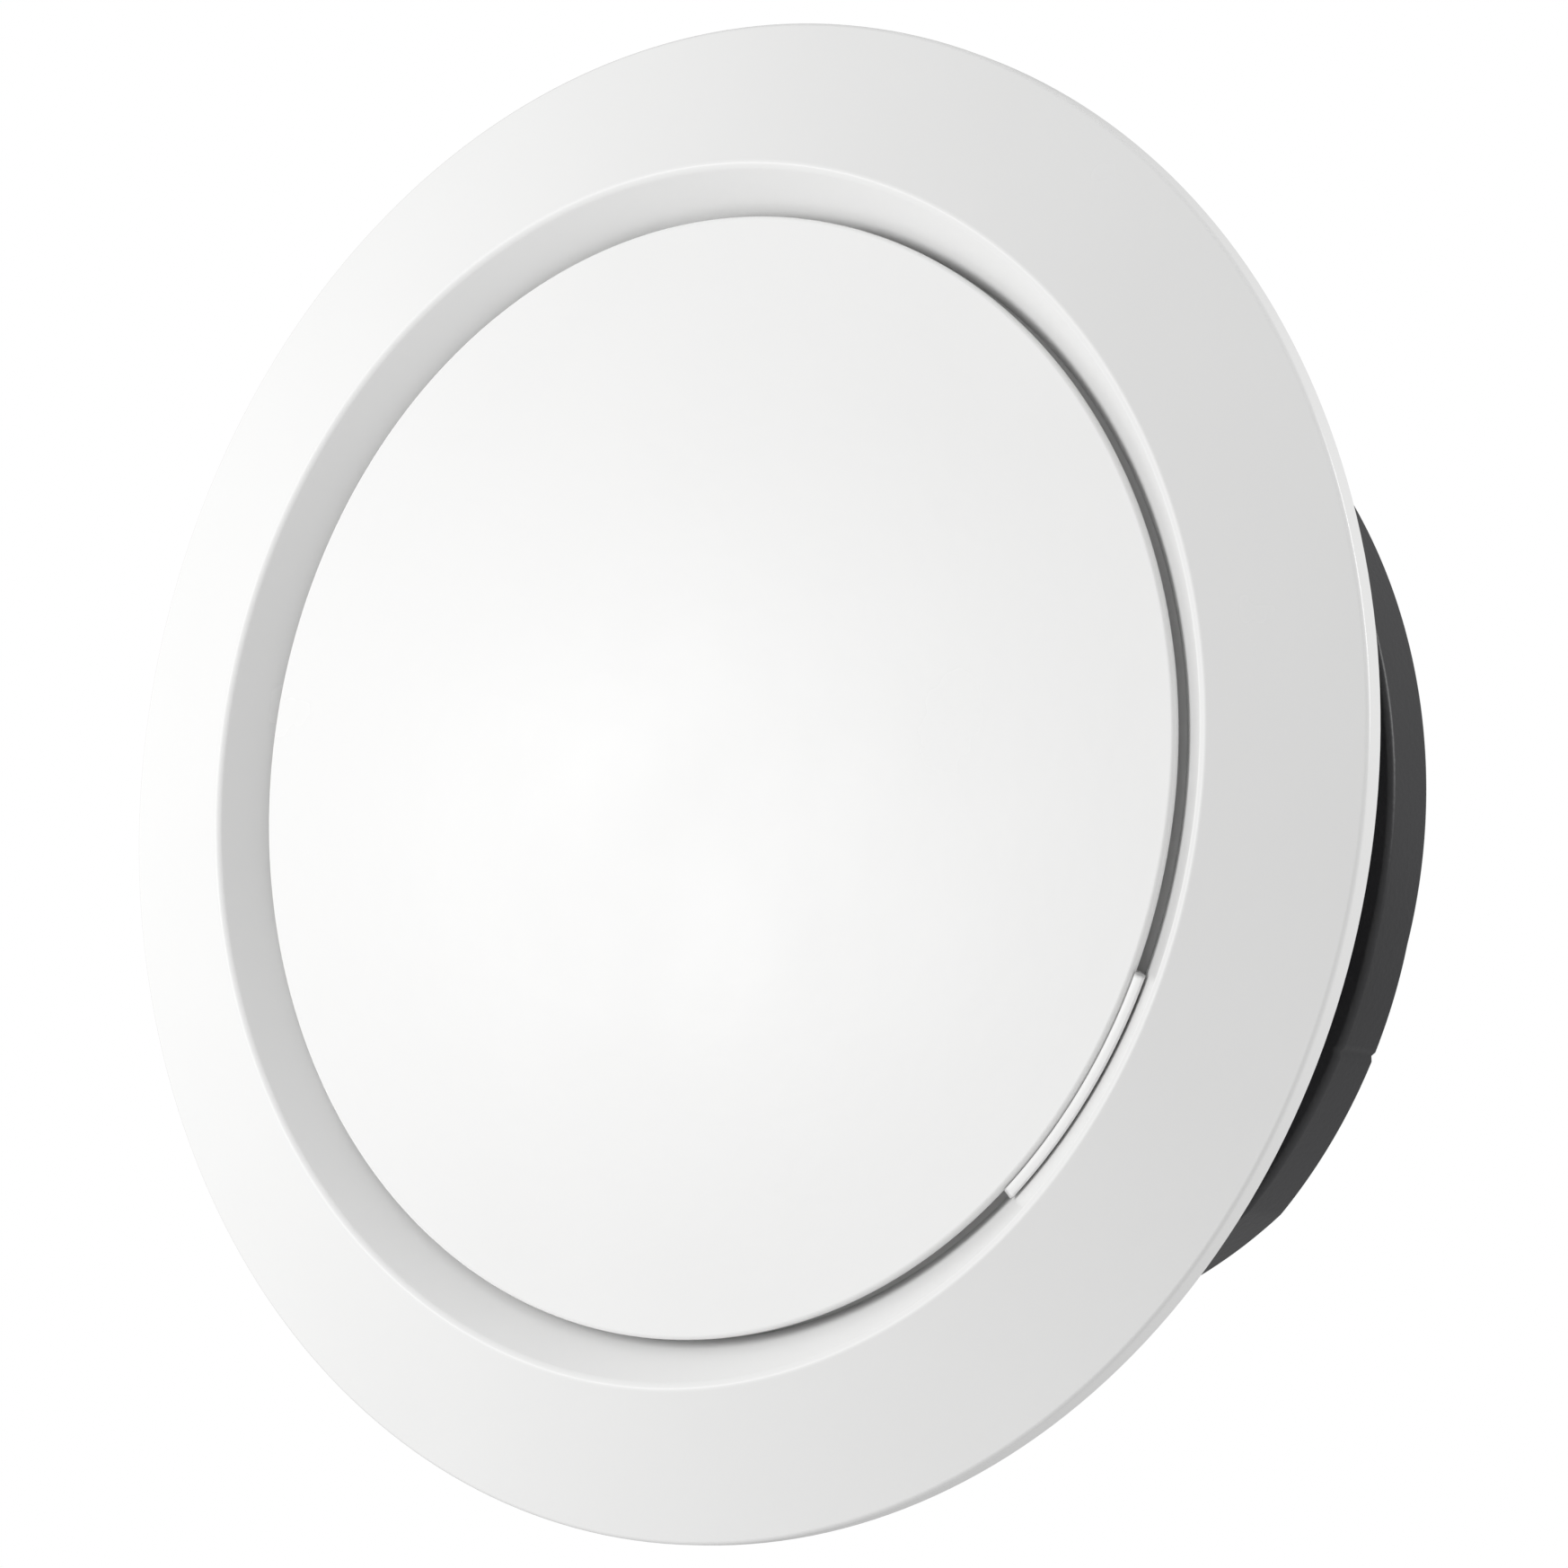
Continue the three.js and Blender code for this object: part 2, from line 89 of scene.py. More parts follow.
# %% Sky, panels and floor
def panel(name, direction, distance, width, height, power, mirrored=True):
    """A soft rectangular light that looks at the origin. It may be left out of reflections."""
    light = bpy.data.lights.new(name, "AREA")
    light.shape = "RECTANGLE"
    light.size = width
    light.size_y = height
    light.energy = power
    lamp = bpy.data.objects.new(name, light)
    aim = Vector(direction).normalized()
    lamp.location = aim * distance
    lamp.rotation_euler = aim.to_track_quat("Z", "Y").to_euler()
    lamp.visible_glossy = mirrored
    bpy.context.scene.collection.objects.link(lamp)
    print(name, "gives", power, "W")


def white_sky(seen, felt):
    """A plain white background to look at, that lights the object more gently."""
    world = bpy.data.worlds.new("sky")
    world.use_nodes = True
    tree = world.node_tree
    path = tree.nodes.new("ShaderNodeLightPath")
    level = tree.nodes.new("ShaderNodeMapRange")
    level.inputs["To Min"].default_value = felt
    level.inputs["To Max"].default_value = seen
    tree.links.new(path.outputs["Is Camera Ray"], level.inputs["Value"])
    tree.nodes["Background"].inputs["Color"].default_value = (1, 1, 1, 1)
    tree.links.new(level.outputs["Result"], tree.nodes["Background"].inputs["Strength"])
    bpy.context.scene.world = world


white_sky(seen=1.0, felt=0.50)
panel("key panel", (-0.62, -0.77, 0.12), 0.28, 0.20, 0.22, 0.50, mirrored=False)
panel("glow panel", (-0.593, -0.795, 0.124), 0.45, 0.05, 0.05, 0.085)
panel("edge strip", (0.90, 0.30, 0.36), 0.50, 0.10, 0.30, 1.0)
bpy.context.scene.view_settings.view_transform = "Standard"

FLOOR_HALF_WIDTH, FLOOR_LEVEL = 3, -0.30
floor_sheet = bmesh.new()
bmesh.ops.create_grid(floor_sheet, x_segments=1, y_segments=1, size=FLOOR_HALF_WIDTH)
bmesh.ops.translate(floor_sheet, verts=floor_sheet.verts, vec=(0, 0, FLOOR_LEVEL))
floor_mesh = bpy.data.meshes.new("floor")
floor_sheet.to_mesh(floor_mesh)
floor_sheet.free()
floor = bpy.data.objects.new("floor", floor_mesh)
bpy.context.scene.collection.objects.link(floor)
pale = bpy.data.materials.new("pale floor")
pale.use_nodes = True
paint = pale.node_tree.nodes["Principled BSDF"]
paint.inputs["Base Color"].default_value = (0.86, 0.86, 0.86, 1)
paint.inputs["Roughness"].default_value = 0.8
floor_mesh.materials.append(pale)

# %% [markdown]
# ## Finishes
#
# A finish could be one flat colour, but real enamel, plastic and brass differ in small
# ways over their surface. Each finish below starts from the same helper, which lays soft
# noise in Object coordinates, so the grain keeps its size in millimetres on every piece.

# %% Finish helper
DRIFT_SCALE = 90
NOISE_LOW, NOISE_HIGH = 0.3, 0.7
GLOSS_SPREAD = 0.1
GRAIN_HEIGHT = 0.0002


def finish(name, colour, roughness, metallic=0.0, spread=0.03, grain_mm=2.0, bump=0.02,
           stretch=(1, 1, 1)):
    """A surface whose shade and gloss drift by a little, with a fine raised grain."""
    made = bpy.data.materials.new(name)
    made.use_nodes = True
    nodes, link = made.node_tree.nodes, made.node_tree.links.new
    shader = nodes["Principled BSDF"]
    shader.inputs["Metallic"].default_value = metallic

    coords = nodes.new("ShaderNodeTexCoord")
    mapping = nodes.new("ShaderNodeMapping")
    mapping.inputs["Scale"].default_value = stretch
    link(coords.outputs["Object"], mapping.inputs["Vector"])

    drift = nodes.new("ShaderNodeTexNoise")
    drift.inputs["Scale"].default_value = DRIFT_SCALE
    drift.inputs["Detail"].default_value = 4
    link(mapping.outputs["Vector"], drift.inputs["Vector"])

    shade = nodes.new("ShaderNodeValToRGB")
    shade.color_ramp.elements[0].position = NOISE_LOW
    shade.color_ramp.elements[1].position = NOISE_HIGH
    shade.color_ramp.elements[0].color = (*[c * (1 - spread) for c in colour], 1)
    shade.color_ramp.elements[1].color = (*[min(1, c * (1 + spread)) for c in colour], 1)
    link(drift.outputs["Fac"], shade.inputs["Fac"])
    link(shade.outputs["Color"], shader.inputs["Base Color"])

    gloss = nodes.new("ShaderNodeMapRange")
    gloss.inputs["From Min"].default_value = NOISE_LOW
    gloss.inputs["From Max"].default_value = NOISE_HIGH
    gloss.inputs["To Min"].default_value = roughness * (1 - GLOSS_SPREAD)
    gloss.inputs["To Max"].default_value = roughness * (1 + GLOSS_SPREAD)
    link(drift.outputs["Fac"], gloss.inputs["Value"])
    link(gloss.outputs["Result"], shader.inputs["Roughness"])

    grain = nodes.new("ShaderNodeTexNoise")
    grain.inputs["Scale"].default_value = 1000 / grain_mm
    grain.inputs["Detail"].default_value = 3
    link(mapping.outputs["Vector"], grain.inputs["Vector"])
    relief = nodes.new("ShaderNodeBump")
    relief.inputs["Strength"].default_value = bump
    relief.inputs["Distance"].default_value = GRAIN_HEIGHT
    link(grain.outputs["Fac"], relief.inputs["Height"])
    link(relief.outputs["Normal"], shader.inputs["Normal"])
    print(name, "has grain of", grain_mm, "mm")
    return made


# %% [markdown]
# Enamel is sprayed and baked, so it flows almost flat and keeps a faint orange peel.
# Moulded plastic carries the fine spark texture of its mould. Dipped coating on the cup
# is duller than the plastic. The metals differ in colour, and in the direction in which
# they were rolled, brushed or turned.

# %% The finishes
enamel = finish("white enamel", (0.90, 0.90, 0.895), 0.25, spread=0.006, grain_mm=1.4, bump=0.03)
plastic = finish("black plastic", (0.024, 0.024, 0.026), 0.42,
                 spread=0.15, grain_mm=0.35, bump=0.10)
coating = finish("black dipped coating", (0.03, 0.03, 0.032), 0.5,
                 spread=0.2, grain_mm=0.8, bump=0.12)
brass = finish("cast brass", (0.66, 0.48, 0.22), 0.34,
               metallic=1, spread=0.10, grain_mm=0.5, bump=0.25)
bronze = finish("stamped bronze", (0.62, 0.40, 0.20), 0.3,
                metallic=1, spread=0.08, grain_mm=0.9, bump=0.08)
zinc = finish("zinc plate", (0.56, 0.57, 0.59), 0.32,
              metallic=1, spread=0.10, grain_mm=0.7, bump=0.10, stretch=(1, 0.4, 1))
steel = finish("spring steel", (0.62, 0.62, 0.63), 0.2,
               metallic=1, spread=0.06, grain_mm=0.6, bump=0.06, stretch=(1, 0.3, 1))
film = finish("seal film", (0.82, 0.81, 0.77), 0.55, spread=0.04, grain_mm=0.8, bump=0.1)

# %% [markdown]
# The bulb needs three clear things: glass, the red liquid and the bubble in it. The same
# Principled shader does them all, with its transmission turned up. The solder that holds
# the cover is a dull grey metal.

# %% Clear finishes and solder
def clear(name, colour, ior):
    """A transparent finish for the bulb and its liquid."""
    made = bpy.data.materials.new(name)
    made.use_nodes = True
    shader = made.node_tree.nodes["Principled BSDF"]
    shader.inputs["Base Color"].default_value = (*colour, 1)
    shader.inputs["Roughness"].default_value = 0.03
    shader.inputs["IOR"].default_value = ior
    shader.inputs["Transmission Weight"].default_value = 1
    print(name, "bends light by", ior)
    return made


glass = clear("bulb glass", (0.97, 0.98, 0.98), 1.47)
liquid = clear("red liquid", (0.80, 0.03, 0.02), 1.36)
bubble = clear("air bubble", (1.0, 0.9, 0.9), 1.0)
solder = finish("dull solder", (0.50, 0.50, 0.51), 0.45,
                metallic=1, spread=0.15, grain_mm=0.4, bump=0.2)

# %% [markdown]
# ## Tools for shaping
#
# Most pieces are turned or pressed, so two tools do most of the work. A turned piece is a
# half section drawn with a few corners, rounded at the corners, and spun round the axis.
# All drawing is in millimetres, with radius along X and depth along Y. Angles are degrees,
# counter-clockwise from +X as seen from the front.

# %% Turning
MM = 0.001
SAME_POINT = 0.0005
TOWARDS_ROOM = (0, -1, 0)
THIRDS = (0, 120, 240)
ROUND_STEPS = 192
FINE_ROUND_STEPS = 256
CORNER_STEPS = 5


def wire(corners, closed):
    """A bmesh with one line through corners of (radius, depth, rounding), in millimetres."""
    bm = bmesh.new()
    verts = [bm.verts.new((r, y, 0)) for r, y, _ in corners]
    following = verts[1:] + verts[:1] if closed else verts[1:]
    for a, b in zip(verts, following):
        bm.edges.new((a, b))
    for vert, (_, _, rounding) in zip(verts, corners):
        if rounding:
            bmesh.ops.bevel(bm, geom=[vert], offset=rounding, offset_type="OFFSET",
                            segments=CORNER_STEPS, profile=0.5, affect="VERTICES",
                            clamp_overlap=False, material=-1)
    return bm


def turn(bm, degrees):
    """Turns everything round the sprinkler's axis."""
    rotation = Matrix.Rotation(-math.radians(degrees), 3, "Y")
    bmesh.ops.rotate(bm, verts=bm.verts, cent=(0, 0, 0), matrix=rotation)


def spin(bm, steps=ROUND_STEPS, degrees=360.0):
    """Spins everything in the bmesh round the sprinkler's axis."""
    full = degrees == 360.0
    bmesh.ops.spin(bm, geom=bm.verts[:] + bm.edges[:], cent=(0, 0, 0), axis=TOWARDS_ROOM,
                   dvec=(0, 0, 0), angle=math.radians(degrees), steps=steps, use_merge=full,
                   use_normal_flip=False, use_duplicate=False)
    bmesh.ops.remove_doubles(bm, verts=bm.verts, dist=SAME_POINT)
    bmesh.ops.recalc_face_normals(bm, faces=bm.faces)


def turned(corners, steps=ROUND_STEPS):
    """A solid of revolution. The section ends on the axis at both ends, or is a closed ring."""
    on_axis = corners[0][0] == 0 and corners[-1][0] == 0
    bm = wire(corners, closed=not on_axis)
    spin(bm, steps)
    return bm


def part_turned(corners, start, sweep, steps=48):
    """A closed section spun through part of a turn, with its two ends closed."""
    bm = wire(corners, closed=True)
    turn(bm, start)
    spin(bm, steps, sweep)
    bmesh.ops.holes_fill(bm, edges=[e for e in bm.edges if e.is_boundary], sides=0)
    bmesh.ops.recalc_face_normals(bm, faces=bm.faces)
    return bm


print("a full turn has", ROUND_STEPS, "steps")

# %% [markdown]
# Flat pieces are blanked out of sheet: an outline and its holes are drawn as loops, filled,
# and pushed back by the sheet's thickness. Boolean cuts would do the same, but loops that
# are filled once leave cleaner edges for the bevel that follows.

# %% Blanking
def loop(bm, corners):
    """Adds a closed loop through corners of (x, z, rounding) to a blank."""
    drawn = wire(corners, closed=True)
    upright = Matrix.Rotation(math.pi / 2, 3, "X")
    bmesh.ops.rotate(drawn, verts=drawn.verts, cent=(0, 0, 0), matrix=upright)
    carry = bpy.data.meshes.new("outline")
    drawn.to_mesh(carry)
    drawn.free()
    bm.from_mesh(carry)
    bpy.data.meshes.remove(carry)


def hole(bm, radius, x=0.0, z=0.0, segments=48):
    """Adds a round loop to a blank."""
    facing = Matrix.Translation((x, 0, z)) @ Matrix.Rotation(math.pi / 2, 4, "X")
    bmesh.ops.create_circle(bm, cap_ends=False, segments=segments, radius=radius, matrix=facing)


def blank(bm, front, back):
    """Fills the loops and gives the sheet its thickness, from front to back."""
    bmesh.ops.remove_doubles(bm, verts=bm.verts, dist=SAME_POINT)
    bmesh.ops.triangle_fill(bm, use_beauty=True, use_dissolve=False, edges=bm.edges,
                            normal=TOWARDS_ROOM)
    bmesh.ops.translate(bm, verts=bm.verts, vec=(0, front, 0))
    pushed = bmesh.ops.extrude_face_region(bm, geom=bm.faces[:])
    moved = [v for v in pushed["geom"] if isinstance(v, bmesh.types.BMVert)]
    bmesh.ops.translate(bm, verts=moved, vec=(0, back - front, 0))
    bmesh.ops.recalc_face_normals(bm, faces=bm.faces)


def soften(bm, width, segments=3, sharper_than=35):
    """Rounds every crisp edge, because no made edge is perfectly sharp."""
    limit = math.radians(sharper_than)
    crisp = [e for e in bm.edges if e.is_manifold and e.calc_face_angle(0) > limit]
    bmesh.ops.bevel(bm, geom=crisp, offset=width, offset_type="OFFSET", segments=segments,
                    profile=0.5, affect="EDGES", clamp_overlap=True, material=-1)


def thicken(bm, sheet, face, facing):
    """Gives an open sheet its thickness, behind the side that the given face shows."""
    bmesh.ops.recalc_face_normals(bm, faces=bm.faces)
    if face.normal.dot(Vector(facing)) < 0:
        bmesh.ops.reverse_faces(bm, faces=bm.faces)
    bmesh.ops.solidify(bm, geom=bm.faces[:], thickness=sheet)


def place(bm, name, body, slot, material, *stands_for):
    """Makes a finished bmesh, drawn in millimetres, into a piece that rides on a body."""
    bmesh.ops.scale(bm, vec=(MM, MM, MM), verts=bm.verts)
    for face in bm.faces:
        face.smooth = True
    mesh = bpy.data.meshes.new(name)
    bm.to_mesh(mesh)
    bm.free()
    mesh.materials.append(material)
    piece = bpy.data.objects.new(name, mesh)
    bpy.context.scene.collection.objects.link(piece)
    even = piece.modifiers.new("even shading", "WEIGHTED_NORMAL")
    even.keep_sharp = True
    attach(piece, body)
    if stands_for:
        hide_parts(*stands_for)
    print(name, "has", len(mesh.polygons), "faces")
    return piece


# %% [markdown]
# ## Trim ring
#
# The trim ring is what the eye reads first: a shallow cone, a crisp ridge, and a steep
# wall down to a ledge behind the cover. It could be a subdivided cage, but a spun section
# keeps the cone straight and the ridge even all the way round.

# %% Trim ring
trim_section = [
    (29.60, -0.80, 0.15),
    (30.65, -0.80, 0.05),
    (30.65, -0.95, 0.08),
    (33.30, -3.85, 0.35),
    (41.70, -1.23, 0.22),
    (41.70, 0.00, 0.12),
    (39.20, 0.00, 0.15),
    (39.20, -1.07, 0.20),
    (33.55, -2.80, 0.40),
    (31.45, -0.45, 0.40),
    (31.45, 2.60, 0.40),
    (29.05, 2.60, 0.15),
    (29.05, 1.70, 0.15),
    (30.65, 1.70, 0.20),
    (30.65, 0.30, 0.20),
    (29.60, 0.30, 0.15),
]
place(turned(trim_section, FINE_ROUND_STEPS), "trim_ring_skin", "trim", "white_enamel", enamel,
      "trim_ring")

# %% [markdown]
# ## Cover plate
#
# The cover is a thin pressed disc. Its edge matters more than its face, because it catches
# the light as a fine bright line, so the edge gets a rounding of its own.

# %% Cover plate
cover_section = [
    (0, -2.35, 0),
    (30.75, -2.35, 0.22),
    (30.75, -1.85, 0.10),
    (0, -1.85, 0),
]
place(turned(cover_section, FINE_ROUND_STEPS), "cover_plate_skin", "cover", "white_enamel", enamel,
      "cover_plate")

# %% [markdown]
# ## Solder tabs
#
# Three stepped tabs join the cover to the retainer. Each has a foot, a riser, and a lip
# under the cover. The first also locates the cover, with an edge that stands beside it. A
# part turn of one section makes each of them. A thin pad of solder lies between the lip
# and the cover, and leaves with the cover.

# %% Solder tabs and solder
TAB_ANGLE, TAB_SPAN, PAD_INSET = -37, 25.5, 3
locating_edge = [
    (30.87, -1.55, 0.06),
    (30.87, -2.25, 0.10),
    (31.50, -2.25, 0.10),
    (31.50, -2.10, 0),
    (30.60, -1.25, 0.15),
]
plain_end = [
    (30.35, -1.55, 0.08),
    (30.35, -1.25, 0.08),
]
tab_front = [
    (26.60, -0.20, 0.08),
    (28.60, -0.20, 0.15),
    (28.60, -1.55, 0.15),
]
tab_back = [
    (29.10, -1.25, 0.10),
    (29.10, 0.30, 0.20),
    (26.60, 0.30, 0.08),
]
pad_section = [
    (29.00, -1.85, 0),
    (30.20, -1.85, 0),
    (30.05, -1.57, 0.05),
    (29.15, -1.57, 0.05),
]
for count, third in enumerate(THIRDS, start=1):
    start = TAB_ANGLE + third - TAB_SPAN / 2
    tab_section = tab_front + (locating_edge if count == 1 else plain_end) + tab_back
    place(part_turned(tab_section, start, TAB_SPAN), f"solder_tab_{count}_pressing", "trim",
          "white_enamel", enamel, f"solder_tab_{count}")
    place(part_turned(pad_section, start + PAD_INSET, TAB_SPAN - 2 * PAD_INSET),
          f"solder_pad_{count}", "cover", "zinc_steel", solder)

# %% [markdown]
# ## Ejection springs
#
# Between the tabs lie three bowed leaves of spring steel, which throw the cover off when
# the solder lets go. A leaf starts as a flat grid, is bent to a parabola, and then gets
# its thickness.

# %% Ejection springs
HALF_LEAF, HALF_LEAF_WIDTH, LEAF_SHEET, LEAF_RADIUS = 6, 1.5, 0.24, 27
LEAF_RISE, LEAF_END = 1.55, 0.03
TAB_TO_SPRING = 60


def bowed_leaf(angle):
    """A spring leaf that lies across a radius, bowed towards the cover."""
    bm = bmesh.new()
    upright = Matrix.Rotation(math.pi / 2, 4, "X")
    bmesh.ops.create_grid(bm, x_segments=4, y_segments=28, size=1, matrix=upright)
    bmesh.ops.scale(bm, vec=(HALF_LEAF_WIDTH, 1, HALF_LEAF), verts=bm.verts)
    bmesh.ops.translate(bm, vec=(LEAF_RADIUS, 0, 0), verts=bm.verts)
    for vert in bm.verts:
        vert.co.y = LEAF_END - (LEAF_RISE - LEAF_END) * (1 - (vert.co.z / HALF_LEAF) ** 2)
    bm.faces.ensure_lookup_table()
    thicken(bm, LEAF_SHEET, bm.faces[0], TOWARDS_ROOM)
    soften(bm, 0.06, 2)
    turn(bm, angle)
    return bm


for count, third in enumerate(THIRDS, start=1):
    place(bowed_leaf(TAB_ANGLE + TAB_TO_SPRING + third), f"ejection_spring_{count}_leaf", "trim",
          "spring_steel", steel, f"ejection_spring_{count}")

# %% [markdown]
# ## Cover retainer
#
# A zinc plated pressing carries the tabs. Its sleeve is split into six fingers that spring
# against the inside of the cup, so the trim can be pushed in or pulled out to suit the
# board. It is spun as an open sheet, the slots are deleted, and then it gets its thickness.

# %% Cover retainer
RETAINER_SHEET, SLOT_TOP, FINGERS = 0.7, 10.0, 6
retainer = wire([
    (30.30, 0.60, 0),
    (24.40, 0.60, 0.8),
    (24.40, SLOT_TOP, 0),
    (24.40, 17.00, 0),
], closed=False)
spin(retainer)
slots = []
for face in retainer.faces:
    middle = face.calc_center_median()
    angle = math.degrees(math.atan2(middle.z, middle.x)) % (360 / FINGERS)
    beside_slot = min(angle, 360 / FINGERS - angle)
    if middle.y > SLOT_TOP and beside_slot < 360 / ROUND_STEPS:
        slots.append(face)
bmesh.ops.delete(retainer, geom=slots, context="FACES")
retainer.faces.ensure_lookup_table()
flange = min(retainer.faces, key=lambda f: f.calc_center_median().y)
thicken(retainer, RETAINER_SHEET, flange, TOWARDS_ROOM)
soften(retainer, 0.12, 2, 60)
place(retainer, "cover_retainer_pressing", "trim", "zinc_steel", zinc, "cover_retainer")

# %% [markdown]
# ## Support cup
#
# The black cup surrounds the sprinkler and holds the collar. Its floor has six vents for
# the water and the heat, so it starts as a filled blank with holes. The wall with its
# pressed bead is spun separately and meets the floor along a shared circle, and one
# thickness is given to both.

# %% Support cup
VENTS, VENT_RADIUS, VENT_CIRCLE, FIRST_VENT = 6, 2.5, 18.5, 30
CUP_SHEET, FLOOR_EDGE, FLOOR_DEPTH = 0.8, 23.6, 24.8
NECK_HOLE = 10.65

cup = wire([
    (FLOOR_EDGE, FLOOR_DEPTH, 0),
    (25.40, FLOOR_DEPTH, 1.2),
    (25.40, 19.70, 0.4),
    (25.90, 19.25, 0.4),
    (25.90, 18.60, 0.4),
    (25.40, 18.15, 0.4),
    (25.40, 5.00, 0),
], closed=False)
spin(cup)
floor_edge = [e for e in cup.edges if e.is_boundary and e.verts[0].co.y > 20]
hole(cup, NECK_HOLE, segments=96)
for vent in range(VENTS):
    angle = math.radians(FIRST_VENT + vent * 360 / VENTS)
    hole(cup, VENT_RADIUS, VENT_CIRCLE * math.cos(angle), VENT_CIRCLE * math.sin(angle), 40)
holes = [e for e in cup.edges if e.is_wire]
hole_verts = {v for e in holes for v in e.verts}
bmesh.ops.translate(cup, verts=list(hole_verts), vec=(0, FLOOR_DEPTH, 0))
bmesh.ops.triangle_fill(cup, use_beauty=True, use_dissolve=False, edges=holes + floor_edge,
                        normal=TOWARDS_ROOM)
cup.faces.ensure_lookup_table()
cup_floor = max(cup.faces, key=lambda f: f.calc_center_median().y)
thicken(cup, CUP_SHEET, cup_floor, TOWARDS_ROOM)
soften(cup, 0.12, 2, 60)
place(cup, "support_cup_pressing", "sprinkler", "black_steel", coating, "support_cup")

# %% [markdown]
# ## Locking collar
#
# The black collar has three long ramps on its rim, which tighten it behind the board as
# it turns. It is spun as a plain ring, and then the rim is drawn outwards along each ramp.
# A narrow nick across the rim marks where the mould's halves meet.

# %% Locking collar
LUG_START, LUG_LENGTH, LUG_RISE, LUG_PEAK, LUG_PITCH = -17, 46.5, 0.8, 0.665, 120
NICK_ANGLE, NICK_DEPTH, NICK_HALF_WIDTH = -29, 0.15, 0.3
RAMP_FROM, COLLAR_STEPS = 29, 720


def lug_height(angle):
    """How far the rim stands out at an angle in degrees, counter-clockwise from +X."""
    share = ((LUG_START - angle) % LUG_PITCH) / LUG_LENGTH
    if share > 1:
        return 0
    return LUG_RISE * min(share / LUG_PEAK, (1 - share) / (1 - LUG_PEAK))


def nick_depth(angle):
    """How far the rim is cut back at an angle."""
    away = abs((angle - NICK_ANGLE + LUG_PITCH / 2) % LUG_PITCH - LUG_PITCH / 2)
    return NICK_DEPTH if away < NICK_HALF_WIDTH else 0


collar = turned([
    (26.60, 19.67, 0.25),
    (30.80, 19.67, 0.40),
    (30.80, 23.52, 0.30),
    (26.60, 23.52, 0.25),
], COLLAR_STEPS)
for vert in collar.verts:
    radius = math.hypot(vert.co.x, vert.co.z)
    if radius > RAMP_FROM:
        angle = math.degrees(math.atan2(vert.co.z, vert.co.x))
        grown = radius + lug_height(angle) - nick_depth(angle)
        vert.co.x *= grown / radius
        vert.co.z *= grown / radius
place(collar, "locking_collar_moulding", "collar", "black_plastic", plastic, "locking_collar")

# %% [markdown]
# ## Snap rings
#
# One open ring of flat steel keeps the collar on the cup, and a smaller one keeps the cup
# on the sprinkler's neck. Both have a gap at the top, so they can be opened with pliers.

# %% Snap rings
def snap_ring(inner, outer, front, back, gap_mm):
    """A flat ring with rounded edges and a gap at the top."""
    half_gap = math.degrees(gap_mm / 2 / inner)
    section = [(inner, front, 0.1), (outer, front, 0.1), (outer, back, 0.1), (inner, back, 0.1)]
    bm = part_turned(section, 90 + half_gap, 360 - 2 * half_gap, ROUND_STEPS // 2)
    soften(bm, 0.1, 2, 60)
    return bm


place(snap_ring(26.5, 28.4, 23.92, 24.72, 7), "collar_clip_ring", "sprinkler", "zinc_steel", zinc,
      "collar_clip")
place(snap_ring(NECK_HOLE, 13.0, 25.9, 26.9, 5), "cup_clip_ring", "sprinkler", "zinc_steel", zinc,
      "cup_clip")

# %% [markdown]
# ## Sprinkler frame
#
# The frame is one brass casting, machined where it matters. It is built in the steps that
# a foundry and a lathe would take: the turned inlet, the wrench hexagon, two arms, and the
# boss that the screw runs through.

# %% Turned inlet
THREAD_START, THREAD_END, PITCH = 32.0, 45.0, 1.814
CREST, TAPER, THREAD_DEPTH = 10.66, 1 / 32, 1.2
HALF_TOOTH, STEPS_PER_TURN = 0.80, 64


def crest_at(depth):
    """The thread's outer radius at a depth, which shrinks towards the inlet."""
    return CREST - TAPER * (depth - THREAD_START)


inlet_section = [
    (7.40, 20.40, 0.2),
    (11.40, 20.40, 0.3),
    (11.40, 24.50, 0.2),
    (10.35, 24.50, 0.2),
    (10.35, 31.20, 0.2),
    (crest_at(THREAD_START) - THREAD_DEPTH, THREAD_START, 0.2),
    (crest_at(THREAD_END) - THREAD_DEPTH, 45.50, 0.4),
    (7.20, 45.50, 0.2),
    (5.60, 32.00, 0.4),
    (5.60, 29.00, 0.1),
    (7.40, 29.00, 0.1),
]
place(turned(inlet_section), "frame_inlet", "sprinkler", "cast_brass", brass, "sprinkler_frame")

# %% [markdown]
# The pipe thread is a real helix. The spin operator takes a small step along the axis at
# each turn of its spin, so a sharp tooth becomes one long ridge, and then every point is
# drawn in towards the axis to follow the taper.

# %% Pipe thread
thread = wire([
    (CREST - THREAD_DEPTH - 0.1, -HALF_TOOTH, 0),
    (CREST, -0.10, 0),
    (CREST, 0.10, 0),
    (CREST - THREAD_DEPTH - 0.1, HALF_TOOTH, 0),
], closed=True)
turns = (THREAD_END - THREAD_START - 2 * HALF_TOOTH) / PITCH
steps = round(turns * STEPS_PER_TURN)
bmesh.ops.translate(thread, verts=thread.verts, vec=(0, THREAD_START + HALF_TOOTH, 0))
bmesh.ops.spin(thread, geom=thread.verts[:] + thread.edges[:], cent=(0, 0, 0), axis=(0, 1, 0),
               dvec=(0, turns * PITCH / steps, 0), angle=turns * 2 * math.pi, steps=steps,
               use_merge=False, use_normal_flip=False, use_duplicate=False)
bmesh.ops.holes_fill(thread, edges=[e for e in thread.edges if e.is_boundary], sides=0)
bmesh.ops.recalc_face_normals(thread, faces=thread.faces)
for vert in thread.verts:
    radius = math.hypot(vert.co.x, vert.co.z)
    drawn_in = 1 - TAPER * (vert.co.y - THREAD_START) / radius
    vert.co.x *= drawn_in
    vert.co.z *= drawn_in
